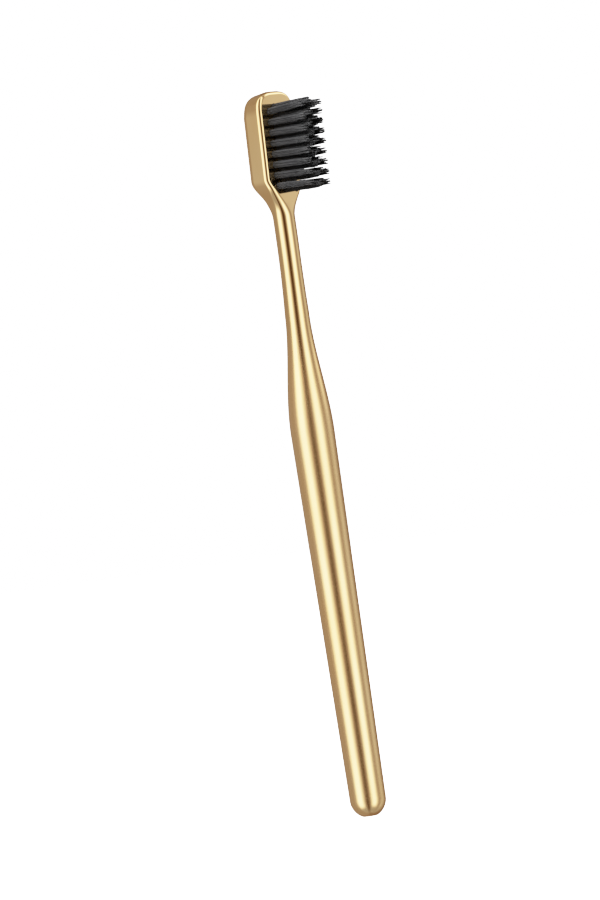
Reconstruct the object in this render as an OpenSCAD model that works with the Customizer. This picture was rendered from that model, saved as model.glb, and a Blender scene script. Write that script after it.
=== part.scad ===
// Manual toothbrush: a one-piece round-gripped handle with a flat head, 34 tufts of filament in blind
// holes in the face of the head, and the flat wire anchors that hold the tufts there.
// The brush stands on its butt end: +Z runs up the grip, the bristles point towards -Y.

/* [Grip] */
// Diameter of the grip just above its domed end
butt_d = 9.1; // [7:0.1:10.5]
// Diameter of the grip at its thickest place
grip_d = 11.1; // [9.5:0.1:14]
// Length from the butt end up to the thickest place
grip_l = 98.5; // [70:0.5:115]
// Height of the domed butt end
dome_l = 4.4; // [2:0.1:6]
// Diameter of the small flat on the tip of the dome
end_flat_d = 3.6; // [1:0.1:4.5]

/* [Neck] */
// Length of the shoulder, where the grip narrows to the neck
shoulder_l = 30; // [20:1:45]
// Diameter of the neck just above the shoulder
neck_root_d = 6.2; // [5.6:0.1:8]
// Diameter of the neck at its thinnest place
neck_d = 5.6; // [4.5:0.1:6.2]
// Length of the neck, from the shoulder up to the head
neck_l = 24.5; // [18:0.5:40]
// How far the top of the neck is set forward of the grip's axis
neck_set = 1.2; // [0:0.1:1.6]

/* [Head] */
// Length of the head, with its flare from the neck
head_l = 32; // [31:0.5:38]
// Width of the head
head_w = 13.6; // [12:0.1:16]
// Thickness of the head
head_t = 6.5; // [5.6:0.1:8]
// How far the middle of the head is set forward of the grip's axis
head_set = 0.5; // [0:0.1:1]
// Forward lean of the head in degrees
head_lean = 2.5; // [0:0.5:6]
// Length over which the outline flares from the neck to the full width
flare_l = 10; // [8:0.5:12]
// Height of the rounded top of the head
crown_l = 6; // [5:0.1:8]
// How much lower the back of the rounded top is than its face
crown_draft = 0.35; // [0:0.05:1.2]
// How square the rounded top is, where 2 is a plain ellipse
crown_power = 3; // [2:0.1:4]
// Width of the crisp edge round the face, seen from the front
face_edge_w = 0.7; // [0.4:0.1:1.5]
// Depth of that edge, seen from the side
face_edge_l = 1.35; // [0.4:0.05:1.6]
// Radius of the softer edge round the back
back_edge_r = 1.8; // [0.8:0.1:2.3]
// Radius of that edge at the top of the head
back_crown_r = 3.2; // [1.2:0.1:3.2]

/* [Tufts] */
// Diameter of a tuft
tuft_d = 1.7; // [1.4:0.05:1.9]
// Distance between the tufts of a short column
short_gap = 2.7; // [2.5:0.05:2.8]
// Distance between the tufts of a long column
long_gap = 2.6; // [2.4:0.05:2.65]
// Distance between the columns
column_gap = 2.15; // [2:0.05:2.3]
// Distance from the top of the head down to the middle of the field of tufts
field_gap = 14.6; // [14.2:0.1:15.2]
// How much nearer the top of the head the long columns stand
long_rise = 0.1; // [0:0.1:0.5]
// Height of the short outer filaments above the face
short_l = 8.9; // [7:0.1:10]
// Height of the long inner filaments above the face
long_l = 12; // [10.8:0.1:14]
// How far the highest tuft of a short column leans towards the tip of the brush, in degrees
short_fan = 7; // [0:0.5:9]

/* [Anchors] */
// Depth of a tuft hole below the face
hole_l = 3.4; // [3:0.1:3.8]
// Space round a tuft in its hole
hole_clearance = 0.03; // [0.01:0.01:0.06]
// Thickness of the flat anchor wire
anchor_t = 0.25; // [0.15:0.05:0.35]
// Height of an anchor along its hole
anchor_h = 1.5; // [1:0.1:1.8]
// How far each end of an anchor bites into the wall of its hole
anchor_bite = 0.15; // [0.05:0.05:0.25]
// Space round an anchor
anchor_clearance = 0.02; // [0.01:0.01:0.04]

/* [Hidden] */
$fn = 48;
// Length by which a cut runs past the surface that it opens
overrun = 2;
// Points on each quarter of a rounded edge
EDGE_STEPS = 6;
// Sections round the crown, from one side of the head to the other
CROWN_STEPS = 24;
// Part of a half width that stays flat on a round section
flat_share = 0.02;

// Heights of the places where the handle changes
shoulder_top_z = grip_l + shoulder_l;
flare_z = shoulder_top_z + neck_l;
top_z = flare_z + head_l;
hub_z = top_z - crown_l;
// Part of the neck over which it narrows to its thinnest place
neck_taper_share = 0.62;
// Parts of the flare after which the face and the back start to settle on the planes of the head
face_start_share = 0.7;
back_start_share = 0.43;
// Heights of the sections, as parts of the stretch that they divide
DOME_SHARES = [0, 0.02, 0.07, 0.15, 0.27, 0.45, 0.7, 1];
GRIP_SHARES = [0.14, 0.28, 0.42, 0.56, 0.7, 0.82, 0.92];
SHOULDER_SHARES = [0, 0.08, 0.16, 0.24, 0.32, 0.4, 0.48, 0.56, 0.64, 0.72, 0.8, 0.9];
NECK_SHARES = [0, 0.12, 0.26, 0.42, 0.6, 0.76, 0.88, 0.96];
FLARE_SHARES = [0.04, 0.12, 0.2, 0.28, 0.36, 0.44, 0.52, 0.6, 0.68, 0.76, 0.84, 0.92, 1];

// Columns of tufts, by turns short and long, so that each row stands in the gaps of the next column
COLUMNS = 4;
SHORT_ROWS = 8;
LONG_ROWS = SHORT_ROWS + 1;
// Height of the middle of the field of tufts
field_z = top_z - field_gap;
// How fast the lean of a short column's tufts fades down the column
LEAN_POWER = 6;

// Filaments in the outer and in the inner ring of a tuft
SHORT_COUNT = 9;
LONG_COUNT = 5;
// Places and radii of the filaments, as parts of the tuft's diameter
short_ring_share = 0.395;
long_ring_share = 0.165;
long_bulge_share = 0.19;
long_tip_share = 0.1;
short_r_share = 0.1;
long_r_share = 0.083;
// Parts of a filament's radius that are left at its end and, on a long one, at its bend
short_tip_share = 0.8;
long_bend_share = 0.95;
long_point_share = 0.4;
// Depth of the filaments' roots in the folded bundle
root_share = 0.3;
// Part of the length by which the filaments differ
uneven_share = 0.06;
// Turn of a tuft against the one before it, in degrees
TUFT_TURN = 37;
// Turn of a filament's step of unevenness against the one before it, in degrees
UNEVEN_TURN = 137;
// Height of the fold of a tuft under its anchor, as a part of the hole's depth
fold_share = 0.12;

gold = [0.78, 0.64, 0.4];
black = [0.09, 0.09, 0.1];
wire = [0.72, 0.66, 0.5];

function lerp(a, b, s) = a + (b - a) * s;
function smooth(s) = let (t = min(max(s, 0), 1)) t * t * (3 - 2 * t);
function ease_out(s) = let (t = min(max(s, 0), 1)) 1 - (1 - t) * (1 - t);
function within(low, high, shares) = [for (s = shares) lerp(low, high, s)];

// Round part of the handle: its radius, and how far its middle is set forward
function grip_r(z) = lerp(butt_d / 2, grip_d / 2, z / grip_l);
function dome_r(z) =
    let (r = grip_r(dome_l), left = (dome_l - z) / dome_l, cut = 1 - pow(end_flat_d / 2 / r, 2))
    r * sqrt(1 - left * left * cut);
function shoulder_r(z) = lerp(grip_d / 2, neck_root_d / 2, smooth((z - grip_l) / shoulder_l));
function neck_r(z) =
    lerp(neck_root_d / 2, neck_d / 2, ease_out((z - shoulder_top_z) / (neck_l * neck_taper_share)));
function round_r(z) =
    z < dome_l ? dome_r(z) : z < grip_l ? grip_r(z) : z < shoulder_top_z ? shoulder_r(z) : neck_r(z);
function round_set(z) = -neck_set * smooth((z - grip_l) / (flare_z - grip_l));

// Planes of the head's face and back, and its half width below the crown
function head_mid(z) = -head_set - tan(head_lean) * (z - field_z);
function settle(z, start_share) = smooth(((z - flare_z) / flare_l - start_share) / (1 - start_share));
function face_y(z) =
    lerp(round_set(z) - round_r(z), head_mid(z) - head_t / 2, settle(z, face_start_share));
function back_y(z) =
    lerp(round_set(z) + round_r(z), head_mid(z) + head_t / 2, settle(z, back_start_share));
function half_w(z) = lerp(round_r(z), head_w / 2, smooth((z - flare_z) / flare_l));
function edge_r(z, r) = lerp((1 - flat_share) * round_r(z), r, smooth((z - flare_z) / flare_l));

// Half of a section, from the middle of the face round the side to the middle of the back. Each point is
// its distance from the middle line and its depth below the face, and draft draws in the back's edge
function half_section(w, t, face_w, face_l, back_r, draft) = [
    [0, 0],
    for (i = [0:EDGE_STEPS]) let (a = 90 * i / EDGE_STEPS)
        [w - face_w + face_w * sin(a), face_l - face_l * cos(a)],
    for (i = [0:EDGE_STEPS]) let (a = 90 * i / EDGE_STEPS)
        [w - draft - back_r + back_r * cos(a), t - back_r + back_r * sin(a)],
    [0, t]
];
function section_at(z, w, back_r, draft) =
    let (t = back_y(z) - face_y(z))
    let (face_w = min(edge_r(z, face_edge_w), t / 2), face_l = min(edge_r(z, face_edge_l), t / 2))
    half_section(w, t, face_w, face_l, min(edge_r(z, back_r), t / 2), draft);
HALF = 2 * EDGE_STEPS + 4;
RING = 2 * HALF - 2;

// One closed section of the handle below the crown: the right half, then the left half backwards
function ring(z) =
    let (half = section_at(z, half_w(z), back_edge_r, 0))
    [
        for (p = half) [p[0], face_y(z) + p[1], z],
        for (k = [HALF - 2:-1:1]) [-half[k][0], face_y(z) + half[k][1], z]
    ];

// Outline of the crown, seen from the face, and its half sections, which turn about the hub
function crown_reach(a) =
    pow(pow(abs(cos(a)) / (head_w / 2), crown_power) + pow(sin(a) / crown_l, crown_power), -1 / crown_power);
function crown_column(a) =
    let (back_r = lerp(back_edge_r, back_crown_r, sin(a)))
    let (half = section_at(hub_z, crown_reach(a), back_r, crown_draft * sin(a)))
    [
        for (k = [1:HALF - 2]) let (z = hub_z + half[k][0] * sin(a))
            [half[k][0] * cos(a), face_y(z) + half[k][1], z]
    ];

// Skin of the handle, from the heights of its rings and the steps of its crown
handle_z = concat(
    within(0, dome_l, DOME_SHARES),
    within(dome_l, grip_l, GRIP_SHARES),
    within(grip_l, shoulder_top_z, SHOULDER_SHARES),
    within(shoulder_top_z, flare_z, NECK_SHARES),
    within(flare_z, flare_z + flare_l, FLARE_SHARES),
    [hub_z]
);
handle_points = [
    for (z = handle_z) each ring(z),
    for (j = [1:CROWN_STEPS - 1]) each crown_column(180 * j / CROWN_STEPS)
];
TOP_RING = (len(handle_z) - 1) * RING;
CROWN_START = len(handle_z) * RING;
// Index of a point of the crown: the first and last columns are the two sides of the top ring
function crown_index(j, k) =
    j == 0 ? TOP_RING + k :
    j == CROWN_STEPS ? TOP_RING + RING - k :
    CROWN_START + (j - 1) * (HALF - 2) + k - 1;
function quad(a, b, c, d) = [[a, b, c], [a, c, d]];
handle_faces = [
    [for (k = [0:RING - 1]) k],
    for (i = [0:len(handle_z) - 2]) for (k = [0:RING - 1]) let (n = (k + 1) % RING)
        each quad(i * RING + k, (i + 1) * RING + k, (i + 1) * RING + n, i * RING + n),
    for (j = [0:CROWN_STEPS - 1]) for (k = [1:HALF - 3])
        each quad(crown_index(j, k), crown_index(j + 1, k), crown_index(j + 1, k + 1), crown_index(j, k + 1)),
    for (j = [0:CROWN_STEPS - 1]) [TOP_RING, crown_index(j + 1, 1), crown_index(j, 1)],
    for (j = [0:CROWN_STEPS - 1])
        [TOP_RING + HALF - 1, crown_index(j, HALF - 2), crown_index(j + 1, HALF - 2)]
];

// Tuft holes: how many rows a column has, and the place of a hole on the face
function rows(c) = c % 2 == 0 ? SHORT_ROWS : LONG_ROWS;
function hole_x(c) = (c - (COLUMNS - 1) / 2) * column_gap;
function is_short(c) = rows(c) == SHORT_ROWS;
function middle_z(c) = field_z + (is_short(c) ? 0 : long_rise);
function hole_z(c, r) = middle_z(c) + (r - (rows(c) - 1) / 2) * (is_short(c) ? short_gap : long_gap);
function tuft_lean(c, r) = is_short(c) ? short_fan * pow(r / (SHORT_ROWS - 1), LEAN_POWER) : 0;
function tuft_name(c, r) = str("tuft_", c + 1, "_", r + 1);
TUFTS = [for (c = [0:COLUMNS - 1]) for (r = [0:rows(c) - 1]) [c, r]];

// Puts a piece on the plane of the face, with its Z axis straight out of the hole
module at_hole(c, r) {
    z = hole_z(c, r);
    translate([hole_x(c), head_mid(z) - head_t / 2, z]) rotate([90 + head_lean, 0, 0]) children();
}

fold_l = hole_l * fold_share;

// Flat wire, laid across a hole: the same module cuts its pocket, with space round it
module anchor_plate(space) {
    long = tuft_d + 2 * hole_clearance + 2 * anchor_bite;
    translate([-long / 2 - space, -anchor_t / 2 - space, fold_l - hole_l - space])
        cube([long + 2 * space, anchor_t + 2 * space, anchor_h + 2 * space]);
}

module tuft_hole() {
    translate([0, 0, -hole_l]) cylinder(d = tuft_d + 2 * hole_clearance, h = hole_l + overrun);
    anchor_plate(anchor_clearance);
}

module handle() {
    color(gold)
        difference() {
            polyhedron(points = handle_points, faces = handle_faces);
            for (t = TUFTS) at_hole(t[0], t[1]) tuft_hole();
        }
}

// Three-sided filament through a list of stations. A station is the filament's distance from the middle
// of the tuft, its own radius, and its height above the face
FILAMENT_SIDES = 3;
module filament(turn, stations) {
    count = len(stations);
    polyhedron(
        points = [
            for (s = stations) for (k = [0:FILAMENT_SIDES - 1])
                let (a = turn + 360 * k / FILAMENT_SIDES)
                [s[0] * cos(turn) + s[1] * cos(a), s[0] * sin(turn) + s[1] * sin(a), s[2]]
        ],
        faces = [
            [for (k = [0:FILAMENT_SIDES - 1]) k],
            for (i = [0:count - 2]) for (k = [0:FILAMENT_SIDES - 1])
                let (n = (k + 1) % FILAMENT_SIDES, a = i * FILAMENT_SIDES, b = a + FILAMENT_SIDES)
                each quad(a + k, b + k, b + n, a + n),
            [for (k = [FILAMENT_SIDES - 1:-1:0]) (count - 1) * FILAMENT_SIDES + k]
        ]
    );
}

module filaments(first_turn) {
    root = -root_share * tuft_d;
    for (i = [0:SHORT_COUNT - 1]) {
        turn = first_turn + 360 * i / SHORT_COUNT;
        top = short_l * (1 - uneven_share * pow(sin(UNEVEN_TURN * i), 2) / 2);
        filament(turn, [
            [short_ring_share * tuft_d, short_r_share * tuft_d, root],
            [short_ring_share * tuft_d, short_r_share * short_tip_share * tuft_d, top]
        ]);
    }
    for (i = [0:LONG_COUNT - 1]) {
        turn = first_turn + 360 * i / LONG_COUNT;
        top = long_l * (1 - uneven_share * pow(sin(UNEVEN_TURN * i), 2));
        filament(turn, [
            [long_ring_share * tuft_d, long_r_share * tuft_d, root],
            [long_bulge_share * tuft_d, long_r_share * long_bend_share * tuft_d, short_l],
            [long_tip_share * tuft_d, long_r_share * long_point_share * tuft_d, top]
        ]);
    }
}

// Folded bundle in its hole, with the anchor through its fold, and the filaments that stand out of it
module tuft(c, r) {
    color(black)
        at_hole(c, r) {
            difference() {
                translate([0, 0, hole_clearance - hole_l]) cylinder(d = tuft_d, h = hole_l - hole_clearance);
                anchor_plate(anchor_clearance);
            }
            rotate([-tuft_lean(c, r), 0, 0]) filaments(TUFT_TURN * (c * LONG_ROWS + r));
        }
}

module tuft_anchors() {
    color(wire) for (t = TUFTS) at_hole(t[0], t[1]) anchor_plate(0);
}

handle();
tuft_anchors();
for (t = TUFTS) tuft(t[0], t[1]);
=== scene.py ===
import math
import random

import bpy
from mathutils import Matrix, Vector


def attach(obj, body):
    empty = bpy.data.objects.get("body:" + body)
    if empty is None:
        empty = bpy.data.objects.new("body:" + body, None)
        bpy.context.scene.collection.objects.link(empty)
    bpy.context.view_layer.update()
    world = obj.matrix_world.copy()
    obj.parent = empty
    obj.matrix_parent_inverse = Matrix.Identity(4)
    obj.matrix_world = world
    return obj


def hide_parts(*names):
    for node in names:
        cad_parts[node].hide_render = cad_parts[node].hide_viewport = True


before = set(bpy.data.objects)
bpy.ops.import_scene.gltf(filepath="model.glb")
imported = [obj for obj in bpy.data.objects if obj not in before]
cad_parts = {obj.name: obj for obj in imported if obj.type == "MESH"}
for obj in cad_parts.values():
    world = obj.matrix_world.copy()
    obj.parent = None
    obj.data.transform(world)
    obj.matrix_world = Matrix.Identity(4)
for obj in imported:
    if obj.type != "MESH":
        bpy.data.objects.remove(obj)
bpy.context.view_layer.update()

# Handle. One moulding of hard plastic: a round grip with a domed end, a waisted neck and a flat head with a
# rounded crown. It is lofted as one skin, ring by ring from the butt end up, and then swept round the crown.
MM = 0.001
BUTT_R = 4.55 * MM
GRIP_R = 5.55 * MM
GRIP_L = 98.5 * MM
DOME_L = 4.4 * MM
END_FLAT_R = 1.8 * MM
SHOULDER_L = 30 * MM
NECK_ROOT_R = 3.1 * MM
NECK_R = 2.8 * MM
NECK_L = 24.5 * MM
NECK_TAPER_SHARE = 0.62
NECK_SET = 1.2 * MM
HEAD_L = 32 * MM
HEAD_HALF_W = 6.8 * MM
HEAD_T = 6.5 * MM
HEAD_SET = 0.5 * MM
HEAD_LEAN = math.radians(2.5)
FLARE_L = 10 * MM
FACE_START_SHARE = 0.7
BACK_START_SHARE = 0.43
CROWN_L = 6 * MM
CROWN_DRAFT = 0.35 * MM
CROWN_POWER = 3
FACE_EDGE_W = 1 * MM
FACE_EDGE_L = 1.25 * MM
BACK_EDGE_R = 1.8 * MM
BACK_CROWN_R = 3.2 * MM
FLAT_SHARE = 0.02
FIELD_DROP = 14.6 * MM

SHOULDER_TOP_Z = GRIP_L + SHOULDER_L
FLARE_Z = SHOULDER_TOP_Z + NECK_L
FLARE_TOP_Z = FLARE_Z + FLARE_L
TOP_Z = FLARE_Z + HEAD_L
HUB_Z = TOP_Z - CROWN_L
FIELD_Z = TOP_Z - FIELD_DROP

EDGE_STEPS = 20
DOME_STEPS = 24
GRIP_STEPS = 46
SHOULDER_STEPS = 44
NECK_STEPS = 30
FLARE_STEPS = 36
HEAD_STEPS = 24
CROWN_STEPS = 72
QUARTER_TURN = math.pi / 2


def lerp(a, b, share):
    return a + (b - a) * share


def smooth(share):
    t = min(max(share, 0), 1)
    return t * t * (3 - 2 * t)


def round_radius(z):
    """Radius of the round parts: dome, grip, shoulder and neck."""
    if z < DOME_L:
        edge = lerp(BUTT_R, GRIP_R, DOME_L / GRIP_L)
        left = (DOME_L - z) / DOME_L
        return edge * math.sqrt(1 - left * left * (1 - (END_FLAT_R / edge) ** 2))
    if z < GRIP_L:
        return lerp(BUTT_R, GRIP_R, z / GRIP_L)
    if z < SHOULDER_TOP_Z:
        return lerp(GRIP_R, NECK_ROOT_R, smooth((z - GRIP_L) / SHOULDER_L))
    left = 1 - min((z - SHOULDER_TOP_Z) / (NECK_L * NECK_TAPER_SHARE), 1)
    return lerp(NECK_ROOT_R, NECK_R, 1 - left * left)


def axis_y(z):
    return -NECK_SET * smooth((z - GRIP_L) / (FLARE_Z - GRIP_L))


def head_y(z):
    return -HEAD_SET - math.tan(HEAD_LEAN) * (z - FIELD_Z)


def flared(z, start=0):
    """How far the round neck has turned into the flat head, if that begins at a share of the flare."""
    return smooth(((z - FLARE_Z) / FLARE_L - start) / (1 - start))


def face_y(z):
    return lerp(axis_y(z) - round_radius(z), head_y(z) - HEAD_T / 2, flared(z, FACE_START_SHARE))


def back_y(z):
    return lerp(axis_y(z) + round_radius(z), head_y(z) + HEAD_T / 2, flared(z, BACK_START_SHARE))


def half_section(z, width, back_r, draft=0):
    """Half of the outline across the handle, from the middle of the face round to the middle of the back,
    as distances from the middle and depths below the face."""
    depth = back_y(z) - face_y(z)
    round_r = (1 - FLAT_SHARE) * round_radius(z)
    face_w, face_l, back_r = (
        min(lerp(round_r, edge, flared(z)), depth / 2) for edge in (FACE_EDGE_W, FACE_EDGE_L, back_r)
    )
    turns = [QUARTER_TURN * i / EDGE_STEPS for i in range(EDGE_STEPS + 1)]
    front = [(width - face_w * (1 - math.sin(a)), face_l * (1 - math.cos(a))) for a in turns]
    rear = [(width - draft - back_r * (1 - math.cos(a)), depth - back_r * (1 - math.sin(a))) for a in turns]
    return [(0, 0), *front, *rear, (0, depth)]


def handle_ring(z):
    width = lerp(round_radius(z), HEAD_HALF_W, flared(z))
    right = [(x, face_y(z) + y, z) for x, y in half_section(z, width, BACK_EDGE_R)]
    left = [(-x, y, z) for x, y, z in right[-2:0:-1]]
    return right + left


def crown_column(turn):
    """Points down the outside of the crown, at one turn round its hub from the right."""
    sides = (math.cos(turn) / HEAD_HALF_W, math.sin(turn) / CROWN_L)
    reach = sum(abs(s) ** CROWN_POWER for s in sides) ** (-1 / CROWN_POWER)
    back_r = lerp(BACK_EDGE_R, BACK_CROWN_R, math.sin(turn))
    column = []
    for x, y in half_section(HUB_Z, reach, back_r, CROWN_DRAFT * math.sin(turn))[1:-1]:
        z = HUB_Z + x * math.sin(turn)
        column.append((x * math.cos(turn), face_y(z) + y, z))
    return column


def spread(low, high, steps):
    return [lerp(low, high, i / steps) for i in range(steps)]


def handle_skin():
    heights = [
        *[DOME_L * (1 - math.cos(QUARTER_TURN * i / DOME_STEPS)) for i in range(DOME_STEPS)],
        *spread(DOME_L, GRIP_L, GRIP_STEPS),
        *spread(GRIP_L, SHOULDER_TOP_Z, SHOULDER_STEPS),
        *spread(SHOULDER_TOP_Z, FLARE_Z, NECK_STEPS),
        *spread(FLARE_Z, FLARE_TOP_Z, FLARE_STEPS),
        *spread(FLARE_TOP_Z, HUB_Z, HEAD_STEPS),
        HUB_Z,
    ]
    points = [p for z in heights for p in handle_ring(z)]
    ring_n = len(points) // len(heights)
    half_n = ring_n // 2 + 1
    faces = [list(range(ring_n))]
    for i in range(len(heights) - 1):
        for k in range(ring_n):
            a, b = i * ring_n + k, i * ring_n + (k + 1) % ring_n
            faces.append([a, a + ring_n, b + ring_n, b])

    hub_face = len(points) - ring_n
    hub_back = hub_face + half_n - 1
    columns = [[hub_face + k for k in range(1, half_n - 1)]]
    for j in range(1, CROWN_STEPS):
        columns.append([len(points) + k for k in range(half_n - 2)])
        points += crown_column(math.pi * j / CROWN_STEPS)
    columns.append([hub_face + ring_n - k for k in range(1, half_n - 1)])
    for near, far in zip(columns, columns[1:]):
        for k in range(half_n - 3):
            faces.append([near[k], far[k], far[k + 1], near[k + 1]])
        faces.append([hub_face, far[0], near[0]])
        faces.append([hub_back, near[-1], far[-1]])
    return points, faces


def make_piece(name, points, faces):
    mesh = bpy.data.meshes.new(name)
    mesh.from_pydata(points, [], faces)
    piece = bpy.data.objects.new(name, mesh)
    bpy.context.scene.collection.objects.link(piece)
    return piece


handle = make_piece("gold_handle", *handle_skin())

# Tuft holes. 34 blind round holes, moulded into the face in four staggered columns of eight and nine, with
# a soft rim. Each has two slots in its sides, where the anchor of its tuft bites in.
COLUMNS = 4
COLUMN_GAP = 2.15 * MM
SHORT_ROWS = 8
SHORT_GAP = 2.7 * MM
LONG_GAP = 2.6 * MM
LONG_RISE = 0.1 * MM
TUFT_R = 0.85 * MM
HOLE_R = 0.88 * MM
HOLE_L = 3.4 * MM
RIM_W = 0.06 * MM
HOLE_SIDES = 40
CUT_OVERRUN = 2 * MM
ANCHOR_HALF_T = 0.125 * MM
ANCHOR_HALF_L = 1.03 * MM
ANCHOR_H = 1.5 * MM
ANCHOR_LIFT = 0.408 * MM
ANCHOR_SPACE = 0.02 * MM


def row_count(c):
    return SHORT_ROWS + c % 2


def hole_place(c, r):
    """Turns a hole's own axes, with Z straight out of it, into its place on the face."""
    rows = row_count(c)
    gap, rise = (SHORT_GAP, 0) if rows == SHORT_ROWS else (LONG_GAP, LONG_RISE)
    z = FIELD_Z + rise + (r - (rows - 1) / 2) * gap
    spot = Vector(((c - (COLUMNS - 1) / 2) * COLUMN_GAP, head_y(z) - HEAD_T / 2, z))
    return Matrix.Translation(spot) @ Matrix.Rotation(QUARTER_TURN + HEAD_LEAN, 4, "X")


def circle(centre, radius, sides):
    turns = [math.tau * k / sides for k in range(sides)]
    return [centre + Vector((radius * math.cos(a), radius * math.sin(a), 0)) for a in turns]


def tube(rings):
    """Points and faces of a closed tube through rings of points, from its low end to its high one."""
    points = [p for ring in rings for p in ring]
    sides = len(rings[0])
    faces = [list(range(sides))[::-1], list(range(len(points) - sides, len(points)))]
    for i in range(len(rings) - 1):
        for k in range(sides):
            a, b = i * sides + k, i * sides + (k + 1) % sides
            faces.append([a, b, b + sides, a + sides])
    return points, faces


def join(parts):
    points, faces = [], []
    for part_points, part_faces in parts:
        start = len(points)
        points += part_points
        faces += [[start + i for i in face] for face in part_faces]
    return points, faces


def hole_cutter(place):
    """The hole with its rim, which is cut on past the face so that it crosses the face cleanly."""
    mouth_r = HOLE_R + 2 * RIM_W
    profile = ((HOLE_R, -HOLE_L), (HOLE_R, -RIM_W), (mouth_r, RIM_W), (mouth_r, CUT_OVERRUN))
    rings = [circle(Vector((0, 0, height)), radius, HOLE_SIDES) for radius, height in profile]
    return tube([[place @ p for p in ring] for ring in rings])


def slot_cutter(place):
    x, y = ANCHOR_HALF_L + ANCHOR_SPACE, ANCHOR_HALF_T + ANCHOR_SPACE
    base = ANCHOR_LIFT - HOLE_L
    corners = ((-x, -y), (x, -y), (x, y), (-x, y))
    heights = (base - ANCHOR_SPACE, base + ANCHOR_H + ANCHOR_SPACE)
    return tube([[place @ Vector((*corner, height)) for corner in corners] for height in heights])


def cut(piece, tool_points, tool_faces):
    tool = make_piece("cutter", tool_points, tool_faces)
    step = piece.modifiers.new("cut", "BOOLEAN")
    step.operation = "DIFFERENCE"
    step.solver = "EXACT"
    step.object = tool
    done = piece.evaluated_get(bpy.context.evaluated_depsgraph_get())
    piece.data = bpy.data.meshes.new_from_object(done)
    piece.modifiers.clear()
    bpy.data.objects.remove(tool)


TUFTS = [(c, r) for c in range(COLUMNS) for r in range(row_count(c))]
for cutter in (hole_cutter, slot_cutter):
    cut(handle, *join([cutter(hole_place(c, r)) for c, r in TUFTS]))

# Gold finish. The whole handle is metallised in pale gold: a thin bright coat, polished on the head and
# neck and a little satin on the grip. It has the faint grain and slow patches of moulding and plating.
GOLD = (0.95, 0.69, 0.36)
DEEP_GOLD = (0.91, 0.63, 0.3)
POLISHED_ROUGHNESS = 0.03
SATIN_ROUGHNESS = 0.22
ROUGHNESS_DRIFT = (-0.015, 0.02)
RELIEF_STRENGTH = 0.05
RELIEF_DEPTH = 0.02 * MM
SHARP_ANGLE = math.radians(32)


def link(tree, source, target):
    tree.links.new(source, target)


def build_surface_life():
    """Fine grain and slow patches that every finish has a little of: moulding, plating and handling."""
    tree = bpy.data.node_groups.new("surface_life", "ShaderNodeTree")
    for name, value in (("Grain per mm", 4), ("Patches per mm", 0.1), ("Stretch", 1)):
        socket = tree.interface.new_socket(name, in_out="INPUT", socket_type="NodeSocketFloat")
        socket.default_value = value
    for name in ("Grain", "Patches"):
        tree.interface.new_socket(name, in_out="OUTPUT", socket_type="NodeSocketFloat")
    inside = tree.nodes.new("NodeGroupInput")
    outside = tree.nodes.new("NodeGroupOutput")
    where = tree.nodes.new("ShaderNodeTexCoord")
    in_mm = tree.nodes.new("ShaderNodeVectorMath")
    in_mm.operation = "SCALE"
    in_mm.inputs["Scale"].default_value = 1 / MM
    link(tree, where.outputs["Object"], in_mm.inputs[0])
    long_way = tree.nodes.new("ShaderNodeCombineXYZ")
    long_way.inputs["X"].default_value = 1
    long_way.inputs["Y"].default_value = 1
    link(tree, inside.outputs["Stretch"], long_way.inputs["Z"])
    drawn = tree.nodes.new("ShaderNodeVectorMath")
    drawn.operation = "MULTIPLY"
    link(tree, in_mm.outputs[0], drawn.inputs[0])
    link(tree, long_way.outputs[0], drawn.inputs[1])
    for name, size, detail in (("Grain", "Grain per mm", 3), ("Patches", "Patches per mm", 4)):
        noise = tree.nodes.new("ShaderNodeTexNoise")
        noise.inputs["Detail"].default_value = detail
        link(tree, drawn.outputs[0], noise.inputs["Vector"])
        link(tree, inside.outputs[size], noise.inputs["Scale"])
        link(tree, noise.outputs["Fac"], outside.inputs[name])
    return tree


def add_life(tree, grain, patches, stretch=1):
    node = tree.nodes.new("ShaderNodeGroup")
    node.node_tree = surface_life
    node.inputs["Grain per mm"].default_value = grain
    node.inputs["Patches per mm"].default_value = patches
    node.inputs["Stretch"].default_value = stretch
    return node


def new_finish(name):
    material = bpy.data.materials.new(name)
    material.use_nodes = True
    return material, material.node_tree, material.node_tree.nodes["Principled BSDF"]


def add_range(tree, source, low, high, from_low=0.3, from_high=0.7):
    """Stretches a value to run from low to high. Most of a noise lies between 0.3 and 0.7."""
    node = tree.nodes.new("ShaderNodeMapRange")
    node.inputs["From Min"].default_value = from_low
    node.inputs["From Max"].default_value = from_high
    node.inputs["To Min"].default_value = low
    node.inputs["To Max"].default_value = high
    link(tree, source, node.inputs["Value"])
    return node.outputs["Result"]


def add_mix(tree, share, low, high):
    """A blend of two colours by a share. Each is a plain colour or comes from another node."""
    node = tree.nodes.new("ShaderNodeMix")
    node.data_type = "RGBA"
    link(tree, share, node.inputs["Factor"])
    for name, colour in (("A", low), ("B", high)):
        if isinstance(colour, tuple):
            node.inputs[name].default_value = (*colour, 1)
        else:
            link(tree, colour, node.inputs[name])
    return node.outputs["Result"]


def add_axes(tree):
    where = tree.nodes.new("ShaderNodeTexCoord")
    axes = tree.nodes.new("ShaderNodeSeparateXYZ")
    link(tree, where.outputs["Object"], axes.inputs[0])
    return axes.outputs


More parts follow.
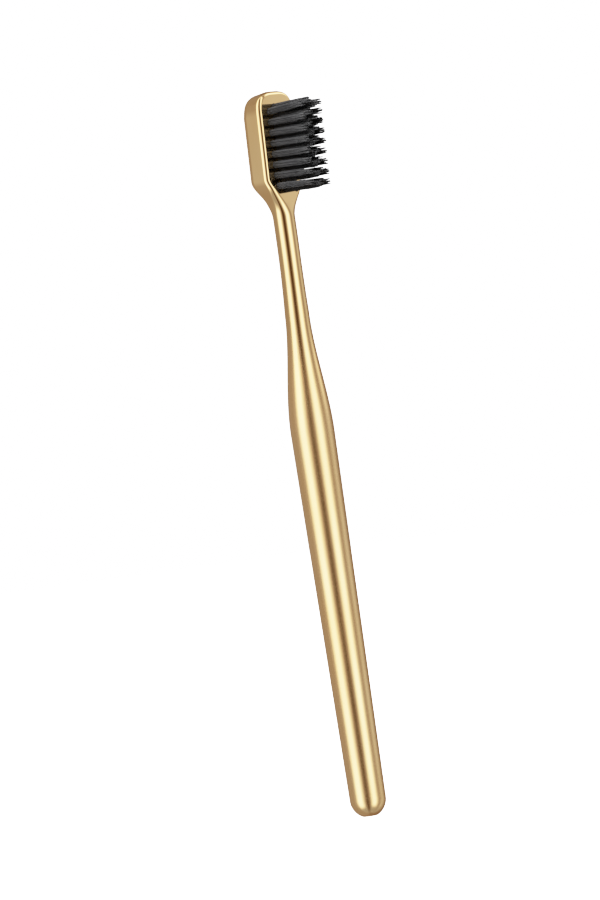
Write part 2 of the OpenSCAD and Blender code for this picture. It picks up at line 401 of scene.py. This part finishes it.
def gold_finish():
    material, tree, skin = new_finish("metallised_gold")
    life = add_life(tree, grain=5, patches=0.12, stretch=0.35)
    patches = add_range(tree, life.outputs["Patches"], 0, 1)
    link(tree, add_mix(tree, patches, GOLD, DEEP_GOLD), skin.inputs["Base Color"])
    skin.inputs["Metallic"].default_value = 1
    roughness = tree.nodes.new("ShaderNodeMath")
    roughness.operation = "ADD"
    height = add_axes(tree)["Z"]
    by_height = add_range(tree, height, SATIN_ROUGHNESS, POLISHED_ROUGHNESS, GRIP_L, FLARE_Z)
    link(tree, by_height, roughness.inputs[0])
    link(tree, add_range(tree, life.outputs["Patches"], *ROUGHNESS_DRIFT), roughness.inputs[1])
    link(tree, roughness.outputs[0], skin.inputs["Roughness"])
    relief = tree.nodes.new("ShaderNodeBump")
    relief.inputs["Strength"].default_value = RELIEF_STRENGTH
    relief.inputs["Distance"].default_value = RELIEF_DEPTH
    link(tree, life.outputs["Grain"], relief.inputs["Height"])
    link(tree, relief.outputs[0], skin.inputs["Normal"])
    return material


surface_life = build_surface_life()
handle.data.shade_smooth()
handle.data.set_sharp_from_angle(angle=SHARP_ANGLE)
even = handle.modifiers.new("even_normals", "WEIGHTED_NORMAL")
even.keep_sharp = True
handle.data.materials.append(gold_finish())
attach(handle, "root")
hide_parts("handle")

# Tufts. Each is a bundle of fine black nylon filaments, folded double round its anchor and driven into its
# hole:
# blunt ones round the outside, painted a lighter charcoal as a painted sheen, and longer tapered black ones
# inside that gather in a few points.
# The top tufts fan out towards the tip of the brush, and the far column leans that way.
FILAMENTS = 84
FILAMENT_R = 0.075 * MM
FILAMENT_SIDES = 5
BUNDLE_R = TUFT_R - FILAMENT_R
INNER_SHARE = 0.88
GOLDEN_TURN = math.radians(137.50776)
TURN_WANDER = 0.05
SWAY = 0.03 * MM
SHORTER_SHARE = 0.05

# In the hole: how deep the fold is, how far the anchor parts it, how narrow it is along and across the
# anchor, and the depth above which the filaments stand straight
ROOT_L = 3 * MM
PARTED = 0.21 * MM
FOLD_W_SHARE = 0.9
FOLD_H_SHARE = 0.8
THROAT_SHARE = 0.2

BLUNT_L = 9.1 * MM
BLUNT_SPLAY = 1.04
BLUNT_END_SHARE = 0.6
BLUNT_HEIGHT_SHARES = (0.08, 0.3, 0.6, 0.85, 0.985, 1)

# These gather into one point in the middle of the tuft and six round it, and sway more than the blunt ones
TIPPED_L = 11.97 * MM
TIPPED_SPLAY = 1.16
TIPPED_SWAY = 1.8
TIPPED_END_SHARE = 0.8
OUTER_SPIKES = 6
SPIKE_WANDER = 0.3
SPIKE_OUT_SHARES = (0.6, 0.95)
SPIKE_DROP_SHARE = 0.015
SPIKE_LENGTH_SHARES = (0.97, 1)
GATHER_START_SHARE = 0.8
GATHER_SHARE = 0.6
TIPPED_HEIGHT_SHARES = (0.06, 0.3, 0.6, GATHER_START_SHARE, 0.9, 0.95, 1)

FAN = math.radians(5.5)
FAN_POWER = 6
FAR_LEAN = math.radians(2.8)


def tuft_lean(c, r):
    """Angle towards the tip of the brush: the near columns fan out at their top, and the far one leans."""
    lean = FAR_LEAN if c == COLUMNS - 1 else 0
    return lerp(lean, FAN * (1 - c / (COLUMNS - 1)), (r / (row_count(c) - 1)) ** FAN_POWER)


def across(turn, distance):
    return Vector((math.cos(turn), math.sin(turn), 0)) * BUNDLE_R * distance


def draw_spikes(draw):
    """Where the points of a tuft are, and how high they reach."""
    spikes = []
    for k in range(OUTER_SPIKES):
        turn = math.tau * (k + draw.uniform(-SPIKE_WANDER, SPIKE_WANDER)) / OUTER_SPIKES
        out = draw.uniform(*SPIKE_OUT_SHARES)
        reach = TIPPED_L * (1 - SPIKE_DROP_SHARE * out * out) * draw.uniform(*SPIKE_LENGTH_SHARES)
        spikes.append((across(turn, out), reach))
    return [*spikes, (Vector((0, 0, 0)), TIPPED_L)]


def filament(path, radii):
    """Points and faces of one round filament along a path that runs more or less up."""
    return tube([circle(spot, radius, FILAMENT_SIDES) for spot, radius in zip(path, radii)])


def tuft_shape(c, r):
    """Points and faces of a tuft, and how many of the faces are of its blunt filaments, which come first."""
    draw = random.Random(100 * c + r)
    spikes = draw_spikes(draw)
    blunt, tipped = [], []
    for i in range(FILAMENTS):
        share = math.sqrt((i + 0.5) / FILAMENTS)
        spot = across(GOLDEN_TURN * (i + c) + draw.uniform(-TURN_WANDER, TURN_WANDER), share)
        fold_y = lerp(PARTED, FOLD_H_SHARE * BUNDLE_R, abs(spot.y) / BUNDLE_R)
        fold = Vector((spot.x * FOLD_W_SHARE, math.copysign(fold_y, spot.y), -ROOT_L))
        throat = Vector((spot.x, spot.y, -THROAT_SHARE * ROOT_L))
        path, radii = [fold, throat, spot], [FILAMENT_R] * 3
        sway = Vector((draw.gauss(0, 1), draw.gauss(0, 1), 0)) * SWAY
        if share < INNER_SHARE:
            point, reach = min(spikes, key=lambda spike: (spike[0] - spot).length)
            length = reach * (1 - SHORTER_SHARE * draw.random() ** 2)
            for h in TIPPED_HEIGHT_SHARES:
                drawn_in = smooth((h - GATHER_START_SHARE) / (1 - GATHER_START_SHARE))
                place = spot.lerp(point, GATHER_SHARE * drawn_in) * lerp(1, TIPPED_SPLAY, h)
                path.append(place + sway * TIPPED_SWAY * h + Vector((0, 0, length * h)))
                radii.append(FILAMENT_R * lerp(1, TIPPED_END_SHARE, drawn_in))
            tipped.append(filament(path, radii))
        else:
            length = BLUNT_L * (1 - SHORTER_SHARE * draw.random())
            for h in BLUNT_HEIGHT_SHARES:
                path.append(spot * BLUNT_SPLAY + sway * h + Vector((0, 0, length * h)))
                radii.append(FILAMENT_R * (1 if h < 1 else BLUNT_END_SHARE))
            blunt.append(filament(path, radii))
    points, faces = join(blunt + tipped)
    lean = Matrix.Rotation(-tuft_lean(c, r), 4, "X")
    place = hole_place(c, r)
    blunt_faces = sum(len(shape[1]) for shape in blunt)
    return [place @ (lean @ p if p.z > 0 else p) for p in points], faces, blunt_faces


# All filaments are the same black nylon. The blunt ones' lighter charcoal is a painted sheen, the grey that
# light gives them. The tapered ones keep the nylon's own black.
SHEEN_PAINTED_GREY = (0.066, 0.066, 0.068)
PALE_SHEEN_PAINTED_GREY = (0.088, 0.088, 0.091)
BLACK = (0.028, 0.028, 0.029)
SOFT_BLACK = (0.042, 0.042, 0.043)
# Painted light: between these distances out from the face the filaments are painted paler towards their
# tips. This stands for the light that the thin ends catch and let through.
PAINTED_LIT_ENDS = (0.12, 0.12, 0.123)
LIT_ENDS_START_Y = -11 * MM
LIT_ENDS_FULL_Y = -15 * MM
NYLON_IOR = 1.53
NYLON_SHINE = 0.1
FILAMENT_SHARP_ANGLE = math.radians(80)


def filament_finish(name, dark, pale, smoothest, roughest):
    material, tree, skin = new_finish(name)
    life = add_life(tree, grain=6, patches=0.5)
    patches = add_range(tree, life.outputs["Patches"], 0, 1)
    # Painted highlight on the tips: the colour turns paler towards the ends of the filaments.
    lit_ends_share = add_range(tree, add_axes(tree)["Y"], 1, 0, LIT_ENDS_FULL_Y, LIT_ENDS_START_Y)
    tint = add_mix(tree, lit_ends_share, add_mix(tree, patches, dark, pale), PAINTED_LIT_ENDS)
    link(tree, tint, skin.inputs["Base Color"])
    link(tree, add_range(tree, life.outputs["Grain"], smoothest, roughest), skin.inputs["Roughness"])
    skin.inputs["IOR"].default_value = NYLON_IOR
    skin.inputs["Specular IOR Level"].default_value = NYLON_SHINE
    return material


# The blunt filaments take the painted sheen grey. The tapered ones take the nylon's own black.
blunt_nylon_painted_sheen = filament_finish("black_nylon_blunt_painted_sheen", SHEEN_PAINTED_GREY, PALE_SHEEN_PAINTED_GREY, smoothest=0.4, roughest=0.55)
tipped_nylon = filament_finish("black_nylon_tapered", BLACK, SOFT_BLACK, smoothest=0.35, roughest=0.5)
for c, r in TUFTS:
    points, faces, blunt_faces = tuft_shape(c, r)
    tuft = make_piece(f"filaments_{c + 1}_{r + 1}", points, faces)
    tuft.data.shade_smooth()
    tuft.data.set_sharp_from_angle(angle=FILAMENT_SHARP_ANGLE)
    tuft.data.materials.append(blunt_nylon_painted_sheen)
    tuft.data.materials.append(tipped_nylon)
    kinds = [0] * blunt_faces + [1] * (len(faces) - blunt_faces)
    tuft.data.polygons.foreach_set("material_index", kinds)
    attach(tuft, "root")
    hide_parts(f"tuft_{c + 1}_{r + 1}")

# Anchors. 34 short lengths of flat brass wire, one across each hole, hold the folded tufts down. They sit
# out of sight inside the head, as the solids that the frame carries.
BRASS = (0.8, 0.62, 0.32)
DULL_BRASS = (0.62, 0.46, 0.22)
BRASS_ROUGHNESS = (0.22, 0.4)


def wire_finish():
    material, tree, skin = new_finish("flat_brass_wire")
    life = add_life(tree, grain=12, patches=1.5, stretch=0.1)
    patches = add_range(tree, life.outputs["Patches"], 0, 1)
    link(tree, add_mix(tree, patches, BRASS, DULL_BRASS), skin.inputs["Base Color"])
    skin.inputs["Metallic"].default_value = 1
    link(tree, add_range(tree, life.outputs["Grain"], *BRASS_ROUGHNESS), skin.inputs["Roughness"])
    return material


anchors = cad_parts["tuft_anchors"]
anchors.data.materials.clear()
anchors.data.materials.append(wire_finish())

# Camera. It stands level with the middle of the brush, on the side of the head's left wall and face, and is
# rolled a little, so that the brush leans in the picture. Its tone curve rolls off towards white.
CAMERA_TURN = math.radians(-50)
CAMERA_ROLL = math.radians(8.56)
CAMERA_DISTANCE = 1.5
VIEW_HEIGHT = 227.85 * MM
LOOK_Z = 94.25 * MM
LOOK_SIDE = -3.84 * MM
SENSOR = 36
side = Vector((math.cos(CAMERA_TURN), math.sin(CAMERA_TURN), 0))
back = Vector((math.sin(CAMERA_TURN), -math.cos(CAMERA_TURN), 0))
right = side * math.cos(CAMERA_ROLL) - Vector((0, 0, math.sin(CAMERA_ROLL)))
camera_data = bpy.data.cameras.new("camera")
camera_data.sensor_width = SENSOR
camera_data.lens = SENSOR * CAMERA_DISTANCE / VIEW_HEIGHT
camera = bpy.data.objects.new("camera", camera_data)
bpy.context.scene.collection.objects.link(camera)
camera.matrix_world = Matrix.Translation(
    side * LOOK_SIDE + back * CAMERA_DISTANCE + Vector((0, 0, LOOK_Z))
) @ Matrix((right, back.cross(right), back)).transposed().to_4x4()
bpy.context.scene.camera = camera

# Brightness in the scene against brightness in the picture. White is at the end
TONES = ((0, 0), (0.25, 0.25), (0.5, 0.49), (0.75, 0.69), (1, 0.81), (1.3, 0.9), (1.7, 0.96), (2.4, 1))
WHITE = TONES[-1][0]
view = bpy.context.scene.view_settings
view.view_transform = "Standard"
view.use_curve_mapping = True
view.curve_mapping.white_level = (WHITE, WHITE, WHITE)
tone_curve = view.curve_mapping.curves[3]
for brightness, tone in TONES[1:-1]:
    tone_curve.points.new(brightness / WHITE, tone)
view.curve_mapping.update()

# Sheet. A large backlit white sheet under the brush, so even that nothing but white shows round it. It is
# hidden from what the brush mirrors and from what lights it, which the light tent gives instead.
FLOOR_HALF = 3
FLOOR_GAP = 0.05 * MM
SHEET_WHITE = (0.93, 0.93, 0.93)
SHEET_GREY = (0.9, 0.9, 0.9)
SHEET_ROUGHNESS = 0.9
corners = [(FLOOR_HALF * x, FLOOR_HALF * y, 0) for x, y in ((-1, -1), (1, -1), (1, 1), (-1, 1))]
floor = make_piece("floor", corners, [[0, 1, 2, 3]])
floor.location.z = -FLOOR_GAP
sheet, sheet_tree, sheet_skin = new_finish("backlit_white_sheet")
sheet_life = add_life(sheet_tree, grain=0.4, patches=0.01)
sheet_shade = add_range(sheet_tree, sheet_life.outputs["Grain"], 0, 1)
sheet_tint = add_mix(sheet_tree, sheet_shade, SHEET_WHITE, SHEET_GREY)
link(sheet_tree, sheet_tint, sheet_skin.inputs["Base Color"])
sheet_skin.inputs["Roughness"].default_value = SHEET_ROUGHNESS
sheet_skin.inputs["Emission Color"].default_value = (1, 1, 1, 1)
sheet_skin.inputs["Emission Strength"].default_value = WHITE
floor.data.materials.append(sheet)
floor.visible_glossy = False
floor.visible_diffuse = False

# Light tent. The gold mirrors two tall soft lights left and right of the camera, a warm dark gap between
# them, quieter walls further round and a dimmer floor. The tufts are lit by a soft light from the left.
# The camera itself sees plain white.

# Brightness of the walls, by the angle round from the camera in degrees, left negative
TENT = (
    (-180, 0.3), (-146, 0.4), (-118, 0.4), (-98, 0.4), (-84, 0.44), (-76, 0.7), (-68, 1.9), (-42, 2.1),
    (-30, 1), (-17, 0.34), (-9, 0.11), (0, 0.08), (8, 0.22), (19, 0.55), (29, 1.7), (38, 2.1), (53, 2),
    (65, 0.8), (75, 0.45), (84, 0.37), (92, 0.5), (101, 0.72), (110, 0.65), (120, 0.48), (138, 0.28),
    (180, 0.3),
)
# The walls' dark stops turn warm below this brightness
TINTED_BELOW = 0.6
WARM = (1, 0.45, 0.08)
NEUTRAL = (1, 1, 1)
# Low down the tent is no brighter than its floor, more and more so between these heights in degrees
FLOOR_GLOW = 0.46
FLOOR_STARTS = -34
FLOOR_FULL = -54
# Brightness of the soft light on the tufts, by the angle round and by the height above the horizon
LAMP = ((-180, 0.1), (-110, 0.3), (-85, 8), (-65, 20), (-15, 20), (0, 2), (60, 0.3), (180, 0.1))
LAMP_HEIGHTS = ((-90, 0.01), (18, 0.01), (23, 0.7), (28, 1), (33, 0.7), (38, 0.02), (90, 0.02))
# A small light up on the right and a little behind the brush, which draws the edge of the crown: its
# direction, its brightness, and how near its middle it starts and is full, as cosines
CROWN_LAMP = Vector((0.766, -0.41, 0.49)).normalized()
CROWN_LAMP_BRIGHTNESS = 1.4
CROWN_LAMP_SPREAD = (0.9, 0.97)

sky = bpy.data.worlds.new("light_tent")
bpy.context.scene.world = sky
sky.use_nodes = True
tree = sky.node_tree


def add_math(operation, *values):
    node = tree.nodes.new("ShaderNodeMath")
    node.operation = operation
    for socket, value in zip(node.inputs, values):
        if isinstance(value, (int, float)):
            socket.default_value = value
        else:
            link(tree, value, socket)
    return node.outputs[0]


def add_vectors(operation, first, second):
    node = tree.nodes.new("ShaderNodeVectorMath")
    node.operation = operation
    link(tree, first, node.inputs[0])
    link(tree, second, node.inputs[1])
    return node.outputs[0]


def add_ramp(source, stops, warm=False):
    """A colour ramp of brightness, whose dark stops can be warm. Its colours are shares of the brightest."""
    ramp = tree.nodes.new("ShaderNodeValToRGB")
    brightest = max(value for _, value in stops)
    marks = ramp.color_ramp.elements
    while len(marks) < len(stops):
        marks.new(0.5)
    for mark, (place, value) in zip(marks, stops):
        plain = smooth(value / TINTED_BELOW) if warm else 1
        mark.position = place
        mark.color = (*[value / brightest * lerp(w, n, plain) for w, n in zip(WARM, NEUTRAL)], 1)
    link(tree, source, ramp.inputs["Fac"])
    return ramp.outputs["Color"], brightest


def add_walls(walls, warm=False):
    """Light by the direction round the horizon that it comes from."""
    colour, brightest = add_ramp(round_share, [(a / 360 + 0.5, v) for a, v in walls], warm)
    scaled = tree.nodes.new("ShaderNodeVectorMath")
    scaled.operation = "SCALE"
    scaled.inputs["Scale"].default_value = brightest
    link(tree, colour, scaled.inputs[0])
    return scaled.outputs[0]


def height_share(angle):
    return (math.sin(math.radians(angle)) + 1) / 2


def add_tent():
    floor_part = add_range(tree, high_share, 1, 0, height_share(FLOOR_FULL), height_share(FLOOR_STARTS))
    tent = add_mix(tree, floor_part, add_walls(TENT, warm=True), (FLOOR_GLOW, FLOOR_GLOW, FLOOR_GLOW))
    tent.node.blend_type = "DARKEN"
    return tent


def add_crown_lamp():
    toward = tree.nodes.new("ShaderNodeVectorMath")
    toward.operation = "DOT_PRODUCT"
    toward.inputs[1].default_value = CROWN_LAMP
    link(tree, where.outputs["Generated"], toward.inputs[0])
    return add_range(tree, toward.outputs["Value"], 0, CROWN_LAMP_BRIGHTNESS, *CROWN_LAMP_SPREAD)


def add_lamp():
    heights, _ = add_ramp(high_share, [(height_share(a), v) for a, v in LAMP_HEIGHTS])
    return add_vectors("MULTIPLY", add_walls(LAMP), heights)


# Directions as shares: once round from straight behind the brush, and from straight down to straight up
where = tree.nodes.new("ShaderNodeTexCoord")
axes = tree.nodes.new("ShaderNodeSeparateXYZ")
link(tree, where.outputs["Generated"], axes.inputs[0])
turn = add_math("ARCTAN2", axes.outputs["X"], add_math("MULTIPLY", axes.outputs["Y"], -1))
turns = add_math("MULTIPLY_ADD", turn, 1 / math.tau, 0.5 - CAMERA_TURN / math.tau)
round_share = add_math("FRACT", turns)
high_share = add_math("MULTIPLY_ADD", axes.outputs["Z"], 0.5, 0.5)

rays = tree.nodes.new("ShaderNodeLightPath")
mirrored = add_vectors("ADD", add_tent(), add_crown_lamp())
light = add_mix(tree, rays.outputs["Is Glossy Ray"], add_lamp(), mirrored)
seen = add_mix(tree, rays.outputs["Is Camera Ray"], light, (WHITE, WHITE, WHITE))
link(tree, seen, tree.nodes["Background"].inputs["Color"])
